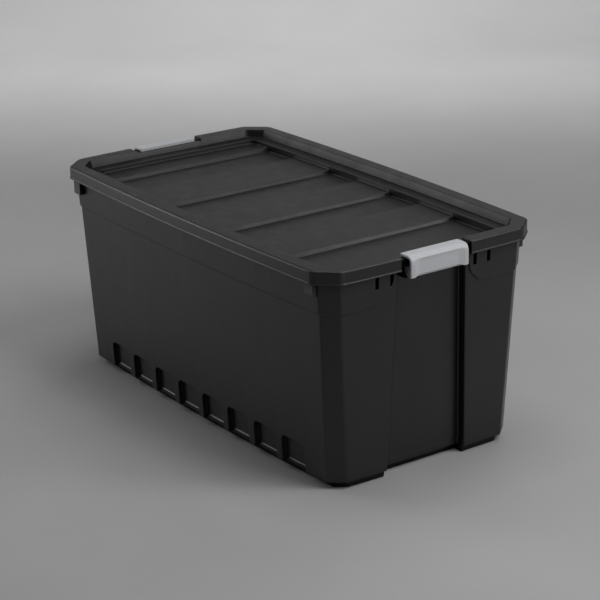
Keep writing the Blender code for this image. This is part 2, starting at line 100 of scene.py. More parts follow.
POCKET_SHIFT = 0.005
POCKET_DEPTH = 0.0078
POCKET_TOP = 0.058
POCKET_ROUND = 0.010

# Lid
SKIRT_DEPTH = 0.0215
LID_THICK = 0.003
RIM_FLAT = 0.023
WELL_DEPTH = 0.013
WELL_LEAN = 0.004
LEDGE_WIDTH = 0.021
PANEL_DROP = 0.007
STRIP_DROP = 0.006
STEP_EDGES = (-0.301, -0.116, 0.056, 0.229)
STEP_RUN = 0.003
STRIP_LENGTH = 0.077
RAMP_RUN = 0.008

# Latches and what takes them
LATCH_FRONT = 0.402
LATCH_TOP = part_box("latch_right")[1].z
HINGE_X = 0.3935
HINGE_Z = 0.3385
NOTCH_HALF = 0.0682
NOTCH_FLOOR = 0.363
NOTCH_EDGE_X = 0.386
NOTCH_ROOM = 0.0036
EAR_ROUND = 0.0048
EAR_BACK_X = 0.3640
EAR_TOP = 0.3485
BORE_RADIUS = 0.0028
PIN_RADIUS = 0.0025
BARREL_RADIUS = 0.005
HOOK_X = 0.374
HOOK_LOW = 0.3635


# ---------------------------------------------------------------- shapes

def bow(points):
    """Straight-sided points, pushed out where the walls bow."""
    x, y, z = points[..., 0], points[..., 1], points[..., 2]
    side = SIDE_BOW_BASE + (SIDE_BOW_TOP - SIDE_BOW_BASE) * z / LID_TOP
    out = points.copy()
    out[..., 0] = x * (1 + END_BOW / LID_HALF_X * (1 - (y / LID_HALF_Y) ** 2))
    out[..., 1] = y * (1 + side / LID_HALF_Y * (1 - (x / LID_HALF_X) ** 2))
    return out


def wall_x(z):
    """Half the length of the tub at one height, before it bows."""
    return WALL_HALF_X + WALL_LEAN_X * (z - FOOT_HEIGHT)


def wall_y(z):
    """Half the width of the tub at one height, before it bows."""
    return WALL_HALF_Y + WALL_LEAN_Y * (z - FOOT_HEIGHT)


def bend(before, corner, after, reach, steps):
    """Points that round a corner, reach along each side of it."""
    start = corner + (before - corner) / np.linalg.norm(before - corner) * reach
    end = corner + (after - corner) / np.linalg.norm(after - corner) * reach
    t = np.linspace(0, 1, steps + 1)[:, None]
    return start * (1 - t) ** 2 + corner * 2 * t * (1 - t) + end * t**2


def rounded_line(points, radii, steps=5):
    """A polyline with each inner corner rounded to a radius."""
    points = np.array(points, float)
    out = [points[0]]
    for index in range(1, len(points) - 1):
        before, corner, after = points[index - 1], points[index], points[index + 1]
        a, b = before - corner, after - corner
        la, lb = np.linalg.norm(a), np.linalg.norm(b)
        turn = math.pi - math.acos(np.clip(np.dot(a, b) / la / lb, -1, 1))
        reach = min(radii[index - 1] * math.tan(turn / 2), 0.48 * la, 0.48 * lb)
        if reach < 1e-5:
            out.append(corner)
        else:
            out.extend(bend(before, corner, after, reach, steps))
    out.append(points[-1])
    return np.array(out)


def hollow_profile(depth, mouth, floor, draft, fine=4):
    """Offsets in from a hollow's edge, and the depth at each: rounded mouth and floor."""
    a = np.linspace(0, math.pi / 2, fine)
    offset = np.concatenate([mouth * (np.sin(a) - 1), draft + floor * (1 - np.cos(a))])
    down = np.concatenate([mouth * (1 - np.cos(a)), depth - floor * (1 - np.sin(a))])
    return offset, down


def ring(half_x, half_y, corner, z, end, side, reach=0.003, corner_long=None):
    """One closed ring, seen from above: +X end, +Y side, -X end, -Y side, corners between.

    end is (y, depth, z) arrays along an end, y rising; side is (x, depth) arrays along a
    side, x rising. Depth is how far a point stands in from the straight wall. The corner is cut
    off, by corner_long along the side if that differs.
    """
    end_y, end_in, end_z = end
    side_x, side_in = side
    end_x = half_x + WALL_LEAN_X * (end_z - z) - end_in
    at_end = np.array([half_x, half_y - corner])
    at_side = np.array([half_x - (corner_long or corner), half_y])
    below, beyond = at_end - (0, 0.1), at_side - (0.1, 0)
    turn = np.concatenate([bend(below, at_end, at_side, reach, 4), bend(at_end, at_side, beyond, reach, 4)])
    back = turn[::-1] * (-1, 1)
    parts = []
    for sign in (1, -1):
        along = side_x[::-1] if sign > 0 else side_x
        into = side_in[::-1] if sign > 0 else side_in
        parts.append(np.column_stack([sign * end_x, sign * end_y, end_z]))
        for flat in (sign * turn, np.column_stack([along, sign * (half_y - into)]), sign * back):
            parts.append(np.column_stack([flat, np.full(len(flat), z)]))
    return np.concatenate(parts)


def rings_faces(count, length):
    """Faces that join rings of equal length, each to the next."""
    faces = []
    for row in range(count - 1):
        low, high = row * length, (row + 1) * length
        for k in range(length):
            n = (k + 1) % length
            faces.append((low + k, low + n, high + n, high + k))
    return faces


def put(name, points, faces):
    """A mesh object with its doubled points merged and its faces turned outward."""
    mesh = bpy.data.meshes.new(name)
    mesh.from_pydata([tuple(p) for p in points], [], faces)
    bm = bmesh.new()
    bm.from_mesh(mesh)
    bmesh.ops.remove_doubles(bm, verts=bm.verts, dist=2e-6)
    bmesh.ops.recalc_face_normals(bm, faces=bm.faces)
    bm.to_mesh(mesh)
    bm.free()
    made = bpy.data.objects.new(name, mesh)
    bpy.context.scene.collection.objects.link(made)
    return made


def join_tools(name, bodies):
    """Several closed bodies, each (points, faces), as one hidden tool."""
    points, faces = [], []
    for body_points, body_faces in bodies:
        base = len(points)
        points += [tuple(p) for p in body_points]
        faces += [tuple(base + i for i in face) for face in body_faces]
    tool = put(name, points, faces)
    tool.hide_render = True
    return tool


def apply_cut(target, tool, operation="DIFFERENCE"):
    """Cuts or adds a tool for good, and removes the tool."""
    step = target.modifiers.new("cut", "BOOLEAN")
    step.operation = operation
    step.solver = "EXACT"
    step.object = tool
    bpy.context.view_layer.update()
    result = bpy.data.meshes.new_from_object(
        target.evaluated_get(bpy.context.evaluated_depsgraph_get())
    )
    target.modifiers.clear()
    old = target.data
    target.data = result
    bpy.data.meshes.remove(old)
    bpy.data.objects.remove(tool, do_unlink=True)


def prism(rings):
    """A closed body through rings of equal length."""
    length = len(rings[0])
    points = [tuple(p) for r in rings for p in r]
    faces = rings_faces(len(rings), length)
    faces.append(tuple(reversed(range(length))))
    faces.append(tuple(range((len(rings) - 1) * length, len(rings) * length)))
    return points, faces


def block(low, high):
    """A plain box, used as a cutter."""
    corners = [(low[0], low[1]), (high[0], low[1]), (high[0], high[1]), (low[0], high[1])]
    return prism([[(x, y, z) for x, y in corners] for z in (low[2], high[2])])


# ---------------------------------------------------------------- tub

POCKET_OFFSETS, POCKET_DOWN = hollow_profile(POCKET_DEPTH, 0.0010, 0.0016, 0.0006)
RECESS_OFFSETS = hollow_profile(RECESS_DEPTH, RECESS_MOUTH, RECESS_FILLET, 0.0006, 5)[0]
SILL_Z = np.array([0.0166, 0.0171, 0.0174, 0.0177, 0.0184, 0.0190, 0.0212])
SILL_IN = np.array([0.0065, 0.00655, 0.0066, 0.0068, 0.0074, 0.0077, 0.0078])

# The collar's lower edge beside a recess: its height at each distance from the middle
SWEEP = (
    (0.0738, 0.3500, 0.3500), (0.0745, 0.3360, 0.3250), (0.0775, 0.3235, 0.3118),
    (0.0815, 0.3180, 0.3073), (0.0855, 0.3135, 0.3033), (0.0900, 0.3090, 0.2990),
    (0.0945, 0.3050, 0.2957), (0.0990, 0.3016, 0.2949), (0.1035, 0.2990, 0.2947),
    (0.1070, 0.2975, 0.2946), (0.1110, 0.2962, 0.2945), (0.125, 0.2950, 0.2945),
    (0.145, 0.2945, 0.2945),
)
SWEEP_REACH, SWEEP_LOW, SWEEP_HIGH = (np.array(column) for column in zip(*SWEEP))
SWEEP_Y = SWEEP_REACH[:11]

# The collar's edge in section, as (height above it, how far it stands out)
COLLAR_LEVELS = [(-0.0034, 0.0), (-0.0030, 0.0), (-0.0009, 0.0), (-0.0004, 0.0002), (0.0, 0.0008)]
COLLAR_LEVELS += [(0.0004, 0.0017), (0.0009, 0.0022), (0.0016, 0.00245), (0.0028, 0.0025)]


def pocket_stations(z, grow):
    """(x, depth) along a long wall at one height, x rising."""
    offsets = POCKET_OFFSETS
    top = POCKET_TOP + grow
    centre = top - POCKET_ROUND
    half = POCKET_WIDTH / 2 + grow
    if z <= centre:
        reach = half - offsets
    else:
        bulge = np.maximum(0, (POCKET_ROUND - offsets) ** 2 - (z - centre) ** 2)
        reach = half - POCKET_ROUND + np.sqrt(bulge)
    down = np.minimum(POCKET_DOWN, np.interp(top - z, offsets, POCKET_DOWN))
    if not grow:
        down = np.minimum(down, np.interp(z, SILL_Z, SILL_IN) if z > 0.0109 else 0.0)
    xs, ins = [np.array([-0.335, -0.318, -0.300])], [np.zeros(3)]
    for number in range(POCKET_COUNT):
        middle = (number - (POCKET_COUNT - 1) / 2) * POCKET_PITCH + POCKET_SHIFT
        xs += [middle - reach, [middle], middle + reach[::-1]]
        ins += [down, [down[-1]], down[::-1]]
    xs.append(np.array([0.305, 0.320, 0.335]))
    ins.append(np.zeros(3))
    return np.concatenate(xs), np.concatenate(ins)


def sweep_edge(y):
    """Height of the collar's lower edge along an end wall."""
    away = np.abs(y)
    low = np.interp(away, SWEEP_REACH, SWEEP_LOW)
    return np.where(y < 0, low, np.interp(away, SWEEP_REACH, SWEEP_HIGH))


def end_stations(z, depth, grow):
    """(y, depth) along an end wall at one height, y rising from the middle outwards."""
    share = (z - FOOT_HEIGHT) / (RECESS_TOP - FOOT_HEIGHT)
    half = RECESS_HALF_BASE + (RECESS_HALF_TOP - RECESS_HALF_BASE) * share + grow
    fine = len(RECESS_OFFSETS) // 2
    angle = np.linspace(0, math.pi / 2, fine)
    mouth = RECESS_MOUTH * (1 - np.cos(angle))
    down = np.concatenate([mouth, RECESS_DEPTH - RECESS_FILLET * (1 - np.sin(angle))])
    down = down * depth / RECESS_DEPTH
    inner = [0.0, 0.025, 0.05]
    beside = SWEEP_Y[1:] + (half - RECESS_HALF_TOP) * np.linspace(1, 0, 10)
    outer = np.concatenate([beside, SWEEP_REACH[11:]])
    y = np.concatenate([inner, (half - RECESS_OFFSETS)[::-1], outer])
    d = np.concatenate([[depth] * 3, down[::-1], np.zeros(len(outer))])
    return np.concatenate([-y[:0:-1], y]), np.concatenate([d[:0:-1], d])


def recess_depth(z):
    """How deep an end recess is at one height: deepest at the foot, nothing above its top."""
    return float(np.interp(z, [0.0, 0.0108, 0.0110, RECESS_LIP, RECESS_LIP + 0.0018, 0.3466, 0.3470],
                           [0.018, 0.018, 0.0162, 0.0162, RECESS_DEPTH, RECESS_DEPTH, 0.0]))


def wall_ring(z, inset, grow=0.0, shift=None, proud=0.0, share=None, side_inset=0.0):
    """A ring of the tub's wall. shift or share sets heights from the collar's edge."""
    base = z
    side = pocket_stations(z, grow)
    guess_y, _ = end_stations(min(z, RECESS_TOP), RECESS_DEPTH, grow)
    edge = sweep_edge(guess_y)
    if shift is not None:
        end_z = edge + shift
        base = COLLAR_Z + shift
    elif share is not None:
        low = edge + COLLAR_LEVELS[-1][0]
        end_z = low + (RIM_UNDER - 0.0005 - low) * share
        base = COLLAR_Z + COLLAR_LEVELS[-1][0]
        base += (RIM_UNDER - 0.0005 - base) * share
    else:
        end_z = np.full(len(guess_y), z)
    end_y = np.empty(len(guess_y))
    end_in = np.empty(len(guess_y))
    for k, own_z in enumerate(end_z):
        ys, ds = end_stations(own_z, recess_depth(own_z - grow), grow)
        end_y[k], end_in[k] = ys[k], ds[k]
    if shift is not None or share is not None:
        side = (side[0], np.zeros(len(side[0])))
    half_x = wall_x(base) - inset + proud
    half_y = wall_y(base) - inset + proud - side_inset
    corner = WALL_CORNER + 0.8 * proud - CORNER_PER_INSET * (inset + side_inset / 2)
    end = (end_y, end_in, end_z)
    return ring(half_x, half_y, corner, base, end, side, corner_long=corner - WALL_CORNER_LESS)


def scaled_ring(old, new, z):
    """A ring with the stations of another, on a larger or smaller outline."""
    half_x, half_y, corner, corner_long = new
    end_count = len(END_Y_TOP)
    side_count = len(SIDE_X_TOP)
    end_room = (half_y - corner - 0.003) / (old[1] - old[2] - 0.003)
    side_room = (half_x - corner - 0.003) / (old[0] - old[2] - 0.003)
    end_y = END_Y_TOP * np.where(np.abs(END_Y_TOP) > 0.12, end_room, 1.0)
    side_x = SIDE_X_TOP * side_room
    end = (end_y, np.zeros(end_count), np.full(end_count, z))
    side = (side_x, np.zeros(side_count))
    return ring(half_x, half_y, corner, z, end, side, corner_long=corner_long)


END_Y_TOP, _ = end_stations(RIM_UNDER - 0.0005, 0.0, 0.0)
SIDE_X_TOP, _ = pocket_stations(RIM_UNDER, 0.0)


def outer_levels():
    """(z, inset) of the wall's rings below the collar, with its lower edge rounded."""
    levels = [(0.0110, 0.0020), (0.0111, 0.0012), (0.0115, 0.0006), (0.0121, 0.0002)]
    levels += [(0.0129, 0.0), (0.0160, 0.0)]
    levels += [(z, 0.0) for z in SILL_Z]
    levels += [(RECESS_LIP, 0.0), (RECESS_LIP + 0.0018, 0.0), (0.034, 0.0)]
    centre = POCKET_TOP - POCKET_ROUND
    levels += [(centre + rise, 0.0) for rise in (0.0, 0.0025, 0.0045, 0.0060, 0.0072)]
    levels += [(POCKET_TOP - offset, 0.0) for offset in POCKET_OFFSETS[::-1]]
    levels += [(z, 0.0) for z in (0.0625, 0.10, 0.15, 0.20, 0.25, 0.285)]
    return sorted(set(levels))


def tub_shell():
    """The tub as one loft: foot ring, wall, collar, hooked rim, and back down inside."""
    rings = []
    for inset, z in ((0.0222, 0.0110), (0.0212, 0.0105), (0.0210, 0.0015), (0.0205, 0.0004),
                     (0.0195, 0.0), (0.0075, 0.0), (0.0064, 0.0004), (0.0059, 0.0015), (0.0050, 0.0108)):
        rings.append(wall_ring(z, inset, side_inset=FOOT_SIDE_INSET))
    for z, inset in outer_levels():
        rings.append(wall_ring(z, inset))
    for shift, proud in COLLAR_LEVELS:
        rings.append(wall_ring(COLLAR_Z, 0.0, shift=shift, proud=proud))
    for share in (0.33, 0.66, 1.0):
        rings.append(wall_ring(RIM_UNDER, 0.0, share=share, proud=COLLAR_PROUD))
    top = RIM_UNDER - 0.0005
    old = (wall_x(top) + COLLAR_PROUD, wall_y(top) + COLLAR_PROUD, WALL_CORNER + 0.002)
    lip = RIM_EDGE_INSET + RIM_LIP_THICK
    rim = [(lip + 0.0012, RIM_UNDER), (lip + 0.0004, RIM_UNDER - 0.0004), (lip, RIM_UNDER - 0.0012),
           (lip, RIM_LIP + 0.0006), (lip - 0.0006, RIM_LIP), (RIM_EDGE_INSET + 0.0006, RIM_LIP),
           (RIM_EDGE_INSET, RIM_LIP + 0.0006), (RIM_EDGE_INSET, RIM_TOP - 0.0016),
           (RIM_EDGE_INSET + 0.0005, RIM_TOP - 0.0005), (RIM_EDGE_INSET + 0.0016, RIM_TOP)]
    for inset, z in rim:
        new = (LID_HALF_X - inset, LID_HALF_Y - inset, LID_CORNER - 0.002, LID_CORNER_LONG - 0.001)
        rings.append(scaled_ring(old, new, z))
    for inset, z in ((WALL_THICK - 0.0014, RIM_TOP), (WALL_THICK - 0.0004, RIM_TOP - 0.0004),
                     (WALL_THICK, RIM_TOP - 0.0014)):
        corner = WALL_CORNER - CORNER_PER_INSET * inset
        new = (wall_x(z) - inset, wall_y(z) - inset, corner, corner - WALL_CORNER_LESS)
        rings.append(scaled_ring(old, new, z))
    inner = [(z, WALL_THICK) for z in (0.356, 0.3503, 0.3497, 0.30, 0.20, 0.10, 0.066)]
    top = POCKET_TOP + WALL_THICK
    inner += [(top - offset, WALL_THICK) for offset in POCKET_OFFSETS]
    inner += [(top - POCKET_ROUND + rise, WALL_THICK) for rise in (0.0060, 0.0030, 0.0)]
    inner += [(0.034, WALL_THICK), (0.0222, WALL_THICK), (0.0186, 0.0037), (0.0160, 0.0052)]
    inner += [(0.0147, 0.0070), (FLOOR_TOP, 0.0092)]
    for z, inset in inner:
        rings.append(wall_ring(z, inset, grow=WALL_THICK))
    return put("tub_shell", *prism(rings))


def on_end(y, depth, z, sign):
    """A point depth metres behind the face of an end wall."""
    return bow(np.array([sign * (wall_x(z) - depth), y, z]))


def end_prism(levels, sign, middle, steps=6):
    """A block that follows an end wall. Levels are (z, half width, front, back)."""
    rings = []
    for z, half, front, back in levels:
        across = middle + half * np.linspace(-1, 1, steps + 1)
        rings.append([on_end(y, back, z, sign) for y in across]
                     + [on_end(y, front, z, sign) for y in across[::-1]])
    return prism(rings)


def rim_lug(sign_x, sign_y):
    """A gusset under the rim of a long wall, next to the corner."""
    tip = LUG_TIP_NEAR if sign_x > 0 > sign_y else LUG_FOOT
    rings = []
    for x in LUG_X:
        section = []
        for z in (LUG_FOOT, LUG_TOP):
            section.append(bow(np.array([sign_x * x, sign_y * (wall_y(z) - 0.001), z])))
        for z in (LUG_TOP, tip):
            section.append(bow(np.array([sign_x * x, sign_y * LUG_OUT_Y, z])))
        rings.append(section)
    return prism(rings)


def rod_y(centre_x, centre_z, radius, start, end, steps=24):
    """A round rod along Y."""
    angle = np.linspace(0, 2 * math.pi, steps, endpoint=False)
    circle = [(centre_x + radius * math.cos(a), centre_z + radius * math.sin(a)) for a in angle]
    return prism([[(x, y, z) for x, z in circle] for y in (start, end)])


def hinge_ear(sign, side):
    """A plate with a round nose, beside a latch, that takes its pin."""
    angle = np.radians(np.linspace(-90, 20, 12))
    nose = np.column_stack([HINGE_X + EAR_ROUND * np.cos(angle), HINGE_Z + EAR_ROUND * np.sin(angle)])
    outline = [(EAR_BACK_X, HINGE_Z - EAR_ROUND), *nose, (0.3945, 0.3440), (0.3925, 0.3475)]
    outline += [(0.3905, EAR_TOP), (EAR_BACK_X, EAR_TOP)]
    levels = [(0.0573, 0.0004), (0.0577, 0.0), (0.0604, 0.0), (0.0608, 0.0004)]
    return prism([[(sign * (x - less), side * y, z) for x, z in outline] for y, less in levels])


def x_block(sign, near, far, half_y, low_z, high_z):
    """A box across the middle of one end, from near to far along X."""
    x = sorted((sign * near, sign * far))
    return block((x[0], -half_y, low_z), (x[1], half_y, high_z))


def build_tub():
    """The tub, bowed, with its slots, rim cuts, gussets, ears and bores."""
    tub = tub_shell()
    for vertex in tub.data.vertices:
        vertex.co = bow(np.array(vertex.co))
    both = (1, -1)
    slots = [end_prism([(z, SLOT_HALF, -0.02, SLOT_DEPTH) for z in SLOT_Z], sign, y, 1)
             for y in SLOTS_Y for sign in both]
    apply_cut(tub, join_tools("slots", slots))
    room = NOTCH_HALF + NOTCH_ROOM
    apply_cut(tub, join_tools("dips", [x_block(s, 0.3457, 0.42, room, 0.3596, 0.40) for s in both]))
    apply_cut(tub, join_tools("gaps", [x_block(s, 0.3848, 0.42, room, 0.3480, 0.3650) for s in both]))
    added = [rim_lug(a, b) for a in both for b in both]
    added += [hinge_ear(a, b) for a in both for b in both]
    apply_cut(tub, join_tools("ears", added), "UNION")
    bores = []
    for sign in both:
        for side in both:
            ends = sorted((side * 0.0563, side * 0.0604))
            bores.append(rod_y(sign * HINGE_X, HINGE_Z, BORE_RADIUS, *ends))
    apply_cut(tub, join_tools("bores", bores))
    tub.name = tub.data.name = "tub_moulding"
    return tub


# ---------------------------------------------------------------- lid

def panel_line():
    """The panel's surface along X, as (x, z): high and low strips by turns."""
    high = LID_TOP - WELL_DEPTH - PANEL_DROP
    low = high - STRIP_DROP
    points = [(-0.40, high)]
    radii = []
    for edge in STEP_EDGES:
        points += [(edge, high), (edge + STEP_RUN, low)]
        radii += [0.0028, 0.0014]
        ramp = edge + STRIP_LENGTH
        points += [(ramp, low), (ramp + RAMP_RUN, high)]
        radii += [0.004, 0.004]
    points = points[:-2] + [(0.40, low)]
    return rounded_line(points, radii[:-2], 4)


PANEL = panel_line()


def panel_z(x):
    """Height of the panel's surface at x."""
    return np.interp(x, PANEL[:, 0], PANEL[:, 1])


PANEL_INSET = RIM_FLAT + WELL_LEAN + LEDGE_WIDTH


def lid_side_x():
    """Places along a long side that meet the panel's steps."""
    inner = PANEL[1:-1, 0]
    plain = np.concatenate([np.array([-0.322, -0.312])] + [
        np.linspace(edge + STRIP_LENGTH + RAMP_RUN + 0.012, after - 0.012, 4)
        for edge, after in zip(STEP_EDGES, STEP_EDGES[1:])
    ] + [np.linspace(edge + STEP_RUN + 0.012, edge + STRIP_LENGTH - 0.012, 3) for edge in STEP_EDGES]
        + [np.array([0.312, 0.322])])
    x = np.unique(np.concatenate([inner, plain]).round(6))
    grow = 1 + END_BOW / LID_HALF_X * (1 - ((LID_HALF_Y - PANEL_INSET) / LID_HALF_Y) ** 2)
    return x / grow


LID_SIDE_X = lid_side_x()

# A notch's edge, from the rim into the notch: stations, how far in, and how far down
NOTCH_OUT = np.array([0.0016, 0.0010, 0.0004, 0.0, 0.0, -0.0001, -0.0004, -0.0013])
NOTCH_IN = np.array([0.0, 0.00015, 0.0006, 0.0013, 1.0, 1.0, 1.0, 1.0])
NOTCH_DROP = np.array([0.0, 0.0002, 0.0006, 0.0014, 0.0014, 0.0042, 0.0048, 0.0050])


def lid_end_y():
    """Places along an end, close together at the edges of the notch."""
    outer = [0.135, 0.105, 0.092, 0.080]
    inner = [0.060, 0.040, 0.020]
    half = np.concatenate([inner[::-1], NOTCH_HALF + NOTCH_OUT[::-1], outer[::-1]])
    return np.concatenate([-half[::-1], [0.0], half])


LID_END_Y = lid_end_y()


def lid_section():
    """(inset, z) from the panel's edge out over the rim, and then back underneath."""
    top = LID_TOP
    ledge = top - WELL_DEPTH
    well = RIM_FLAT + WELL_LEAN
    skirt = top - SKIRT_DEPTH
    over = rounded_line(
        [(PANEL_INSET + 0.0008, ledge - PANEL_DROP), (PANEL_INSET, ledge), (well, ledge), (RIM_FLAT, top),
         (0.0, top), (-0.0001, skirt + 0.0028), (-0.001, skirt + 0.0016), (-0.001, skirt),
         (0.0013, skirt), (LID_THICK - 0.0008, skirt)],
        [0.0012, 0.0012, 0.0016, 0.0032, 0.0004, 0.0004, 0.0005, 0.0004], 5)[1:-1]
    under = [(LID_THICK, top - LID_THICK), (RIM_FLAT - LID_THICK, top - LID_THICK),
             (well - LID_THICK, ledge - LID_THICK), (PANEL_INSET - LID_THICK, ledge - LID_THICK)]
    return over, np.array([(LID_THICK - 0.0010, skirt + 0.0004)] + under)


def lid_ring(inset, z, outside):
    """A ring of the lid at one inset and height, let down at the notches."""
    half_x, half_y = LID_HALF_X - inset, LID_HALF_Y - inset
    corner = max(LID_CORNER - 0.56 * inset, 0.006)
    corner_long = corner - (LID_CORNER - LID_CORNER_LONG) * max(0.0, 1 - inset / RIM_FLAT)
    reach = float(np.interp(inset, [0.0, RIM_FLAT], [0.0075, 0.0045]))
    old_room = LID_HALF_Y - LID_CORNER - reach
    room = half_y - corner - reach
    end_y = np.where(np.abs(LID_END_Y) > 0.12, LID_END_Y * room / old_room, LID_END_Y)
    end_in = np.zeros(len(end_y))
    end_z = np.full(len(end_y), z)
    side_room = (half_x - corner - reach) / (LID_HALF_X - PANEL_INSET - 0.013)
    side_x = np.where(np.abs(LID_SIDE_X) > 0.316, LID_SIDE_X * max(side_room, 1), LID_SIDE_X)
    along_end, along_side = (end_y, end_in, end_z), (side_x, np.zeros(len(side_x)))
    shape = ring(half_x, half_y, corner, z, along_end, along_side, reach, corner_long)
    count = len(end_y)
    other = len(shape) // 2
    notch_into(shape[:count], outside)
    notch_into(shape[other:other + count], outside)
    return shape


def notch_into(points, outside):
    """Lowers and pulls in the part of an end that lies in a latch's notch."""
    middle = len(points) // 2
    wall = 0.0 if outside else LID_THICK
    floor = NOTCH_FLOOR - LID_THICK
    edge = NOTCH_EDGE_X / (1 + END_BOW / LID_HALF_X * (1 - (NOTCH_HALF / LID_HALF_Y) ** 2)) - wall
    for k, point in enumerate(points):
        away = abs(k - middle)
        code = min(7, 11 - away)
        if code < 0:
            continue
        if away > 3:
            point[1] += math.copysign(wall, point[1])
        x = abs(point[0])
        if code > 4 and x > LID_HALF_X - 0.005:
            point[2] = max(point[2], floor)
        point[0] = math.copysign(min(x, max(edge, x - NOTCH_IN[code])), point[0])
        point[2] = min(point[2], LID_TOP - wall - NOTCH_DROP[code])


def build_lid():
    """The lid: rings over the rim and back under it, closed by the panel's two faces."""
    over, under = lid_section()
    rings = []
    fillet = 0.0013
    foot = PANEL_INSET + 0.0008
    for inset, rise in ((foot + fillet, 0.0), (foot + 0.4 * fillet, 0.3 * fillet), (foot, fillet)):
        shape = bow(lid_ring(inset, LID_TOP, True))
        shape[:, 2] = panel_z(shape[:, 0]) + rise
        rings.append(shape)
    for inset, z in over:
        rings.append(bow(lid_ring(inset, z, True)))
    for inset, z in under:
        rings.append(bow(lid_ring(inset, z, False)))
    shape = bow(lid_ring(PANEL_INSET - LID_THICK + 0.0003, LID_TOP, False))
    shape[:, 2] = panel_z(shape[:, 0]) - LID_THICK
    rings.append(shape)
    length = len(rings[0])
    points = [tuple(p) for r in rings for p in r]
    faces = rings_faces(len(rings), length)
    add_panel(points, faces, rings[0], 0)
    add_panel(points, faces, rings[-1], (len(rings) - 1) * length)
    return put("lid_moulding", points, faces)


def add_panel(points, faces, rim, base):
    """Fills a ring with the panel: columns across, rows along."""
    ends, sides = len(LID_END_Y), len(LID_SIDE_X)
    index = np.arange(len(rim))
    starts = np.cumsum([0, ends, 10, sides, 10, ends, 10, sides])
    right = np.concatenate([index[starts[7] + 5:], index[:starts[1] + 5]])
    top = index[starts[1] + 4:starts[3] + 6][::-1]
    left = index[starts[3] + 5:starts[5] + 5][::-1]
    bottom = index[starts[5] + 4:starts[7] + 6]
    grid = np.empty((len(bottom), len(right)), int)
    grid[:, 0], grid[:, -1], grid[0, :], grid[-1, :] = bottom, top, left, right
    grid += base
    fade = 0.03
    bx, by, ty = rim[bottom, 0], rim[bottom, 1], rim[top, 1]
    lx, ly, rx = rim[left, 0], rim[left, 1], rim[right, 0]
    from_left = np.maximum(0, 1 - (bx - bx[0]) / fade)
    from_right = np.maximum(0, 1 - (bx[-1] - bx) / fade)
    from_low = np.maximum(0, 1 - (ly - ly[0]) / fade)
    from_high = np.maximum(0, 1 - (ly[-1] - ly) / fade)
    drop = LID_THICK if base else 0.0
    for i in range(1, len(bottom) - 1):
        for j in range(1, len(right) - 1):
            x = bx[i] + from_left[i] * (lx[j] - bx[0]) + from_right[i] * (rx[j] - bx[-1])
            y = ly[j] + from_low[j] * (by[i] - by[0]) + from_high[j] * (ty[i] - ty[0])
            grid[i, j] = len(points)
            points.append((x, y, float(panel_z(x)) - drop))
    for i in range(len(bottom) - 1):
        for j in range(len(right) - 1):
            faces.append((grid[i, j], grid[i + 1, j], grid[i + 1, j + 1], grid[i, j + 1]))


# ---------------------------------------------------------------- latches

FACE_SINK = 0.0028
FACE_RISE = 0.0028

# Across a latch, as (distance from its middle, rounding of the end, how sunk the face is)
LATCH_Y = [
    (0.0565, 0.0016, 0.0), (0.0563, 0.0009, 0.0), (0.0558, 0.0004, 0.0), (0.0550, 0.0001, 0.0),
    (0.0541, 0.0, 0.0), (0.0488, 0.0, 0.0), (0.0482, 0.0, 0.015), (0.0477, 0.0, 0.09),
    (0.0472, 0.0, 0.20), (0.0430, 0.0, 0.56), (0.0385, 0.0, 0.93), (0.0372, 0.0, 0.985),
    (0.0360, 0.0, 1.0), (0.018, 0.0, 1.0),
]


def latch_section(shrink, sink):
    """The latch from its side, about its pin, as (x, z)."""
    front, top = LATCH_FRONT - HINGE_X - shrink, LATCH_TOP - HINGE_Z - shrink
    wall = max(0.0035, 0.0022 + sink * FACE_SINK)
    inner, under = LATCH_FRONT - wall - HINGE_X, LATCH_TOP - 0.004 - HINGE_Z
    bottom = -0.0042 + sink * FACE_RISE
    hook, low = HOOK_X - HINGE_X, HOOK_LOW - HINGE_Z
    outside = rounded_line(
        [(inner, bottom), (front, bottom), (front, top), (hook + shrink * 0.5, top), (hook, low)],
        [0.0011, 0.0125, 0.0014], 8)
    if sink:
        share = np.clip((top - 0.0055 - outside[:, 1]) / 0.0035, 0, 1)
        share = share * share * (3 - 2 * share) * (outside[:, 0] > inner + 0.001)
        outside[:, 0] -= share * sink * FACE_SINK
    inside = rounded_line(
        [(hook, low), (hook + 0.0035, low), (hook + 0.004, under), (inner, under), (inner, 0.004),
         (0.003, 0.0046)],
        [0.0006, 0.0008, 0.0075, 0.002], 4)[1:]
    angle = np.radians(np.arange(70, 300, 20))
    barrel = BARREL_RADIUS * np.column_stack([np.cos(angle), np.sin(angle)])
    return np.concatenate([outside, inside, barrel])


def build_latch(name, sign):
    """One latch with its two pins, at the end that sign gives."""
    rings = []
    stations = [(-y, shrink, sink) for y, shrink, sink in LATCH_Y] + [(0.0, 0.0, 1.0)] + LATCH_Y[::-1]
    for y, shrink, sink in stations:
        section = latch_section(shrink, sink)
        rings.append([(sign * (HINGE_X + x), y, HINGE_Z + z) for x, z in section])
    latch = put(name, *prism(rings))
    spans = [sorted((side * 0.056, side * 0.060)) for side in (1, -1)]
    pins = [rod_y(sign * HINGE_X, HINGE_Z, PIN_RADIUS, *span) for span in spans]
    apply_cut(latch, join_tools("pins", pins), "UNION")
    return latch


# ---------------------------------------------------------------- finishes

def nodes_of(name):
    """A new material, its node tree and its shader."""
    material = bpy.data.materials.new(name)
    material.use_nodes = True
    tree = material.node_tree
    return material, tree, tree.nodes["Principled BSDF"]


def add(tree, kind, **values):
    """A node with its inputs and settings given by name."""
    node = tree.nodes.new(kind)
    for key, value in values.items():
        if key in node.inputs:
            node.inputs[key].default_value = value
        else:
            setattr(node, key, value)
    return node


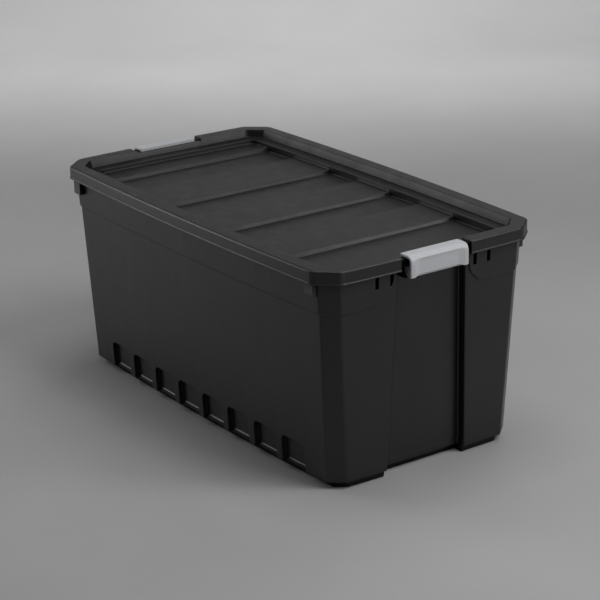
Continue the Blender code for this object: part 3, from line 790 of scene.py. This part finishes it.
def noise(tree, where, scale, detail=3.0, roughness=0.55):
    """The value of a noise at a place."""
    node = add(tree, "ShaderNodeTexNoise", Scale=scale, Detail=detail, Roughness=roughness)
    tree.links.new(where, node.inputs["Vector"])
    return node.outputs["Fac"]


def spread(tree, value, low, high, new_low, new_high):
    """A value's range from low to high, mapped to a new range."""
    node = tree.nodes.new("ShaderNodeMapRange")
    for key, number in zip(("From Min", "From Max", "To Min", "To Max"), (low, high, new_low, new_high)):
        node.inputs[key].default_value = number
    tree.links.new(value, node.inputs["Value"])
    return node.outputs["Result"]


def mixed(tree, share, first, second):
    """Two colours mixed: all first at share 0, all second at share 1."""
    node = tree.nodes.new("ShaderNodeMix")
    node.data_type = "RGBA"
    tree.links.new(share, node.inputs["Factor"])
    for socket, value in ((node.inputs[6], first), (node.inputs[7], second)):
        if isinstance(value, tuple):
            socket.default_value = value
        else:
            tree.links.new(value, socket)
    return node.outputs[2]


def moulded(name, dark, light, wear_and_highlight_colour, rough, grain, grain_depth, wave_depth, specular=0.5,
            reach=0.02, painted_shade_share=0.1, hidden=0.35, clear=0.95):
    """Moulded plastic: fine grain, faint flow marks, lighter edges (part wear, part painted highlight) and
    painted shade in creases.

    Edges turn to the lighter edge colour: part wear, part painted highlight. As painted shade, near
    other surfaces the colour and the gloss fall to a set share, as the open air above falls from clear to
    hidden.
    """
    material, tree, shader = nodes_of(name)
    place = tree.nodes.new("ShaderNodeTexCoord").outputs["Object"]
    stretch = add(tree, "ShaderNodeMapping", Scale=(1.0, 1.0, 0.16))
    tree.links.new(place, stretch.inputs["Vector"])
    flow = noise(tree, stretch.outputs["Vector"], 16.0, 2.0)
    cloud = noise(tree, place, 7.0, 4.0)
    fine = noise(tree, place, grain, 2.0, 0.6)
    colour = mixed(tree, spread(tree, cloud, 0.35, 0.65, 0.0, 1.0), dark, light)
    # Part edge wear, part painted highlight: convex edges found by pointiness lighten to the edge colour.
    pointed = tree.nodes.new("ShaderNodeNewGeometry").outputs["Pointiness"]
    wear_and_highlight_share = spread(tree, pointed, 0.53, 0.60, 0.0, 0.6)
    colour = mixed(tree, wear_and_highlight_share, colour, wear_and_highlight_colour)
    # Painted highlight: edges found by the bevel normal lighten further to the edge colour.
    edge = tree.nodes.new("ShaderNodeBevel")
    edge.samples = 6
    edge.inputs["Radius"].default_value = 0.0012
    facing = tree.nodes.new("ShaderNodeVectorMath")
    facing.operation = "DOT_PRODUCT"
    tree.links.new(edge.outputs["Normal"], facing.inputs[0])
    tree.links.new(tree.nodes.new("ShaderNodeNewGeometry").outputs["True Normal"], facing.inputs[1])
    wear_and_highlight_share = spread(tree, facing.outputs["Value"], 0.88, 0.985, 1.0, 0.0)
    colour = mixed(tree, wear_and_highlight_share, colour, wear_and_highlight_colour)
    # Painted shade: ambient occlusion darkens the colour and dims the gloss in creases, recesses and under
    # overhangs.
    occlusion_for_painted_shade = tree.nodes.new("ShaderNodeAmbientOcclusion")
    occlusion_for_painted_shade.samples = 12
    occlusion_for_painted_shade.inputs["Distance"].default_value = reach
    shade = spread(tree, occlusion_for_painted_shade.outputs["AO"], hidden, clear, painted_shade_share, 1.0)
    colour = mixed(tree, shade, tuple(c * painted_shade_share for c in dark[:3]) + (1,), colour)
    tree.links.new(colour, shader.inputs["Base Color"])
    gloss_with_painted_shade = spread(tree, occlusion_for_painted_shade.outputs["AO"], hidden, clear, specular * painted_shade_share, specular)
    tree.links.new(gloss_with_painted_shade, shader.inputs["Specular IOR Level"])
    soft = spread(tree, noise(tree, place, 38.0, 3.0), 0.3, 0.7, rough - 0.035, rough + 0.035)
    tree.links.new(soft, shader.inputs["Roughness"])
    first = add(tree, "ShaderNodeBump", Strength=1.0, Distance=wave_depth)
    tree.links.new(flow, first.inputs["Height"])
    second = add(tree, "ShaderNodeBump", Strength=1.0, Distance=grain_depth)
    tree.links.new(fine, second.inputs["Height"])
    tree.links.new(first.outputs["Normal"], second.inputs["Normal"])
    tree.links.new(second.outputs["Normal"], shader.inputs["Normal"])
    return material


def finish(piece, material, body, node):
    """Smooth shading, the material, and what the piece stands for."""
    piece.data.materials.clear()
    piece.data.materials.append(material)
    piece.data.shade_smooth()
    piece.data.set_sharp_from_angle(angle=math.radians(50))
    even = piece.modifiers.new("even", "WEIGHTED_NORMAL")
    even.keep_sharp = True
    even.weight = 100
    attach(piece, body)
    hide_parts(node)


# Each edge colour below is part wear, part painted highlight; the lid's wide reach paints shade on its
# panel beside the rim.
tub_plastic = moulded("tub_plastic", (0.0085, 0.0085, 0.0090, 1), (0.0115, 0.0115, 0.0120, 1),
                      (0.060, 0.060, 0.062, 1), 0.36, 950.0, 0.00002, 0.0012)
lid_plastic = moulded("lid_plastic", (0.0095, 0.0095, 0.0100, 1), (0.0130, 0.0130, 0.0135, 1),
                      (0.070, 0.070, 0.072, 1), 0.38, 1100.0, 0.00003, 0.0004, reach=0.05, painted_shade_share=0.3,
                      hidden=0.5, clear=0.92)
latch_plastic = moulded("latch_plastic", (0.48, 0.49, 0.51, 1), (0.52, 0.53, 0.55, 1),
                        (0.80, 0.81, 0.82, 1), 0.40, 1300.0, 0.00002, 0.0002, reach=0.004, painted_shade_share=0.5)

finish(build_tub(), tub_plastic, "tub_body", "tub")
lid = build_lid()
lid.name = lid.data.name = "lid_moulding"
finish(lid, lid_plastic, "lid_body", "lid")
latch_right = build_latch("latch_right_moulding", 1)
finish(latch_right, latch_plastic, "latch_right_body", "latch_right")
latch_left = build_latch("latch_left_moulding", -1)
finish(latch_left, latch_plastic, "latch_left_body", "latch_left")


# ---------------------------------------------------------------- studio

def floor_plane():
    """A pale floor that curves up into a backdrop behind the bin."""
    size, half_wide, rise, curve, back = 3.0, 4.5, 2.5, 0.8, 2.6
    angle = math.radians(54.7)
    away = np.array([-math.sin(angle), math.cos(angle)])
    across = np.array([math.cos(angle), math.sin(angle)])
    line = [(-size, 0.0)] + [(back + curve * math.sin(t), curve * (1 - math.cos(t)))
                             for t in np.linspace(0, math.pi / 2, 17)] + [(back + curve, rise)]
    points = []
    for side in (-1, 1):
        for depth, height in line:
            spot = away * depth + across * side * half_wide
            points.append((spot[0], spot[1], height))
    count = len(line)
    faces = [(k, k + 1, count + k + 1, count + k) for k in range(count - 1)]
    sweep = put("studio_sweep", points, faces)
    sweep.data.shade_smooth()
    material, tree, shader = nodes_of("studio_paper")
    place = tree.nodes.new("ShaderNodeTexCoord").outputs["Object"]
    share = spread(tree, noise(tree, place, 2.0), 0.3, 0.7, 0, 1)
    tone = mixed(tree, share, (0.40, 0.40, 0.404, 1), (0.44, 0.44, 0.444, 1))
    tree.links.new(tone, shader.inputs["Base Color"])
    shader.inputs["Roughness"].default_value = 0.7
    sweep.data.materials.append(material)


def around(azimuth, elevation, distance=2.5):
    """A place round the bin, by its direction from the bin in degrees."""
    turn, lift = math.radians(azimuth), math.radians(elevation)
    flat = distance * math.cos(lift)
    return (flat * math.cos(turn), flat * math.sin(turn), 0.2 + distance * math.sin(lift))


def softbox(name, place, power, wide=1.1, high=1.1, target=(0, 0, 0.2)):
    """A soft light that the camera itself doesn't see."""
    light = bpy.data.lights.new(name, "AREA")
    light.shape = "RECTANGLE"
    light.size, light.size_y = wide, high
    light.energy = power
    made = bpy.data.objects.new(name, light)
    made.location = place
    made.rotation_euler = (Vector(target) - Vector(place)).to_track_quat("-Z", "Y").to_euler()
    made.visible_camera = False
    bpy.context.scene.collection.objects.link(made)


def camera():
    """The camera: a long lens, a little above the bin, facing its near corner."""
    azimuth, elevation, roll = math.radians(54.7182), math.radians(19.7036), math.radians(-0.9502)
    distance, focal_widths, sensor = 3.556, 2108.34 / 600, 36.0
    target = Vector((0.0281, 0.0011, 0.1826))
    flat = math.cos(elevation)
    back = Vector((math.sin(azimuth) * flat, -math.cos(azimuth) * flat, math.sin(elevation)))
    right = Vector((math.cos(azimuth), math.sin(azimuth), 0))
    up = back.cross(right)
    level = math.cos(roll) * right + math.sin(roll) * up
    upright = -math.sin(roll) * right + math.cos(roll) * up
    data = bpy.data.cameras.new("camera")
    data.sensor_width = sensor
    data.lens = focal_widths * sensor
    data.clip_end = 50
    made = bpy.data.objects.new("camera", data)
    turn = Matrix((level, upright, back)).transposed()
    made.matrix_world = Matrix.Translation(target + back * distance) @ turn.to_4x4()
    bpy.context.scene.collection.objects.link(made)
    bpy.context.scene.camera = made


floor_plane()
softbox("key", around(20, 55), 21)
softbox("top", around(0, 90), 12.6)
softbox("left_low", around(-140, 8), 11.5)
softbox("left_high", around(-150, 32), 6.8, 0.9, 0.9)
softbox("right_back", around(38, 24), 11.0, 0.7, 0.7)
softbox("right_front", around(-9, 8), 4.6)
softbox("back", around(115, 55), 5.6)
softbox("backdrop", around(145, 21, 2.4), 24, 3.0, 0.6, (-2.6, 1.85, 0.0))
world = bpy.data.worlds.new("studio")
world.use_nodes = True
world.node_tree.nodes["Background"].inputs["Color"].default_value = (0.75, 0.76, 0.78, 1)
world.node_tree.nodes["Background"].inputs["Strength"].default_value = 0.06
bpy.context.scene.world = world
bpy.context.scene.view_settings.view_transform = "Standard"
camera()
